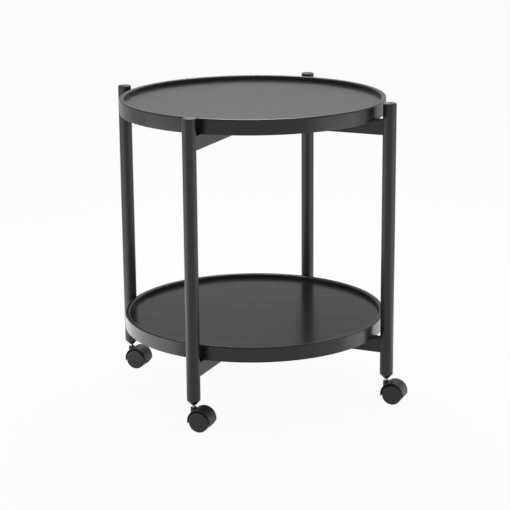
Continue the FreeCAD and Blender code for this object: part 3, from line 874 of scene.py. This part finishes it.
# Brightness of the surround by the sine of the height above the horizon
SURROUND = (
    (0.0, 1.0), (0.08, 0.50), (0.155, 0.39), (0.21, 0.65), (0.28, 0.31), (0.33, 0.25),
    (1.0, 0.29),
)
FLOOR_HALF = 12.0
FLOOR_POINTS = 9
FLOOR_COLOUR = (0.9, 0.9, 0.9, 1)
# How much of the floor is plain white to each kind of ray
FLOOR_WHITE = {"Is Camera Ray": 0.955, "Is Glossy Ray": 0.65, "Is Transmission Ray": 0.65}
# Lamps: place, aim, width, height and watts
LAMPS = {
    "left_softbox": ((-1.15, 0.05, 0.185), (0, 0, 0.185), 1.0, 0.36, 2.0),
    "right_softbox": ((0.95, -0.80, 0.185), (0, 0, 0.185), 1.0, 0.36, 1.85),
    "top_softbox": ((0.25, 0.65, 1.7), (0, 0, 0.5), 0.6, 0.6, 19),
    "back_softbox": ((1.4, 2.0, 2.0), (0.2, 0.2, 0.2), 2.4, 1.2, 9.5),
    "left_floor_panel": ((-0.49, 0.23, 0.04), (0, 0, 2.5), 0.75, 0.30, 1.05),
    "right_floor_panel": ((0.58, -0.12, 0.04), (0, 0, 2.5), 0.60, 0.30, 0.55),
}
CAMERA_AZIMUTH = math.radians(-20.882)
CAMERA_AIM_AZIMUTH = math.radians(-20.919)
CAMERA_DISTANCE = 3.09875
CAMERA_HEIGHT = 1.09197
CAMERA_PITCH = math.radians(15.062)
CAMERA_ROLL = math.radians(-0.456)
CAMERA_REACH = 100
SENSOR_WIDTH = 36
FOCAL_PIXELS = 1669.5
IMAGE_PIXELS = 510


def pale_surround():
    """A studio sweep that is white where it meets the floor and greyer higher up."""
    world = bpy.data.worlds.new("surround")
    bpy.context.scene.world = world
    world.use_nodes = True
    tree = world.node_tree
    direction = tree.nodes.new("ShaderNodeTexCoord")
    split = tree.nodes.new("ShaderNodeSeparateXYZ")
    sweep = tree.nodes.new("ShaderNodeValToRGB")
    stops = sweep.color_ramp.elements
    for sine, _ in SURROUND[1:-1]:
        stops.new(sine)
    for stop, (sine, grey) in zip(stops, SURROUND):
        stop.position = sine
        stop.color = (grey, grey, grey, 1)
    tree.links.new(direction.outputs["Generated"], split.inputs[0])
    tree.links.new(split.outputs["Z"], sweep.inputs["Fac"])
    tree.links.new(sweep.outputs["Color"], tree.nodes["Background"].inputs["Color"])


def plain_white_share(tree):
    """The largest share of plain white among the kinds of ray; soft light gets none of it."""
    path = tree.nodes.new("ShaderNodeLightPath")
    total = None
    for ray, share in FLOOR_WHITE.items():
        weighed = tree.nodes.new("ShaderNodeMath")
        weighed.operation = "MULTIPLY"
        weighed.inputs[1].default_value = share
        tree.links.new(path.outputs[ray], weighed.inputs[0])
        if total is None:
            total = weighed.outputs[0]
            continue
        step = tree.nodes.new("ShaderNodeMath")
        step.operation = "MAXIMUM"
        tree.links.new(total, step.inputs[0])
        tree.links.new(weighed.outputs[0], step.inputs[1])
        total = step.outputs[0]
    return total


def pale_floor():
    """A wide level floor, white to the camera and still taking the table's shadow."""
    across = np.linspace(-FLOOR_HALF, FLOOR_HALF, FLOOR_POINTS)
    x, y = np.meshgrid(across, across)
    points = np.stack([x, y, 0 * x], axis=-1).reshape(-1, 3)
    number = np.arange(len(points)).reshape(x.shape)
    faces = [number[:-1, :-1], number[:-1, 1:], number[1:, 1:], number[1:, :-1]]
    faces = np.stack(faces, axis=-1).reshape(-1, 4)
    mesh = bpy.data.meshes.new("floor")
    mesh.from_pydata(points.tolist(), [], faces.tolist())
    floor = bpy.data.objects.new("floor", mesh)
    bpy.context.scene.collection.objects.link(floor)
    material = bpy.data.materials.new("floor_white")
    material.use_nodes = True
    tree = material.node_tree
    tree.nodes.remove(tree.nodes["Principled BSDF"])
    matt = tree.nodes.new("ShaderNodeBsdfDiffuse")
    matt.inputs["Color"].default_value = FLOOR_COLOUR
    glow = tree.nodes.new("ShaderNodeEmission")
    glow.inputs["Strength"].default_value = 1
    either = tree.nodes.new("ShaderNodeMixShader")
    tree.links.new(plain_white_share(tree), either.inputs[0])
    tree.links.new(matt.outputs[0], either.inputs[1])
    tree.links.new(glow.outputs[0], either.inputs[2])
    tree.links.new(either.outputs[0], tree.nodes["Material Output"].inputs["Surface"])
    mesh.materials.append(material)


def look_from(place, aim):
    """A matrix whose -Z axis points from a place to an aim, with +Y as near to up as it can be."""
    back = unit(np.asarray(place, float) - np.asarray(aim, float))
    side = unit(np.cross(UP, back))
    up = np.cross(back, side)
    rows = [[side[i], up[i], back[i], place[i]] for i in range(3)]
    return Matrix(rows + [[0, 0, 0, 1]])


def softbox(name, place, aim, width, height, watts):
    """A rectangular lamp that lights the table and isn't itself in the picture."""
    lamp = bpy.data.lights.new(name, "AREA")
    lamp.shape = "RECTANGLE"
    lamp.size = width
    lamp.size_y = height
    lamp.energy = watts
    box = bpy.data.objects.new(name, lamp)
    bpy.context.scene.collection.objects.link(box)
    box.matrix_world = look_from(place, aim)
    box.visible_camera = False


def photograph_camera():
    """The camera at the photograph's angle, its lens in proportion to the image's width."""
    data = bpy.data.cameras.new("camera")
    data.sensor_width = SENSOR_WIDTH
    data.lens = FOCAL_PIXELS / IMAGE_PIXELS * SENSOR_WIDTH
    data.clip_end = CAMERA_REACH
    camera = bpy.data.objects.new("camera", data)
    bpy.context.scene.collection.objects.link(camera)
    place = np.array([
        math.sin(CAMERA_AZIMUTH) * CAMERA_DISTANCE,
        -math.cos(CAMERA_AZIMUTH) * CAMERA_DISTANCE,
        CAMERA_HEIGHT,
    ])
    level = math.cos(CAMERA_PITCH)
    ahead = np.array([
        -math.sin(CAMERA_AIM_AZIMUTH) * level,
        math.cos(CAMERA_AIM_AZIMUTH) * level,
        -math.sin(CAMERA_PITCH),
    ])
    side = np.array([math.cos(CAMERA_AIM_AZIMUTH), math.sin(CAMERA_AIM_AZIMUTH), 0])
    up = np.cross(side, ahead)
    rolled_side = side * math.cos(CAMERA_ROLL) + up * math.sin(CAMERA_ROLL)
    rolled_up = up * math.cos(CAMERA_ROLL) - side * math.sin(CAMERA_ROLL)
    rows = [[rolled_side[i], rolled_up[i], -ahead[i], place[i]] for i in range(3)]
    camera.matrix_world = Matrix(rows + [[0, 0, 0, 1]])
    bpy.context.scene.camera = camera


pale_surround()
pale_floor()
for name, settings in LAMPS.items():
    softbox(name, *settings)
photograph_camera()
bpy.context.scene.view_settings.view_transform = "Standard"
